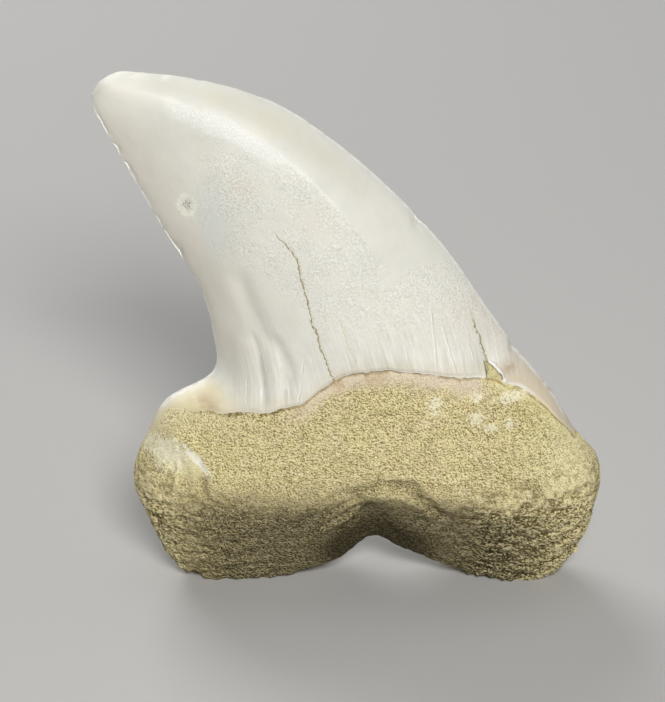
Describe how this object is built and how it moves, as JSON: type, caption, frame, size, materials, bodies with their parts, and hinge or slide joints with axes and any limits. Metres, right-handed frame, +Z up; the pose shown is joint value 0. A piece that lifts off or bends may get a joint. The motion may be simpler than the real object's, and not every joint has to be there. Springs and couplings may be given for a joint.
{
  "type": "fossil mako shark tooth",
  "caption": "Fossil mako shark tooth: a hooked, pale enamel crown on a thick, lobed, sandy root, standing on the worn flats under its lobes.",
  "frame": {"origin": "on the ground, under the middle of the tooth's box as it stands on its root lobes", "axes": "+Z up, -Y out of the bulging inner face, -X towards the side that the tip hooks to"},
  "size_m": [0.0544, 0.0164, 0.0575],
  "materials": {
    "fossil_tooth": "satin cream-white enamel on the crown, dull grainy sandy tan on the root"
  },
  "bodies": {
    "root": {"tooth": "fossil_tooth"}
  },
  "joints": []
}
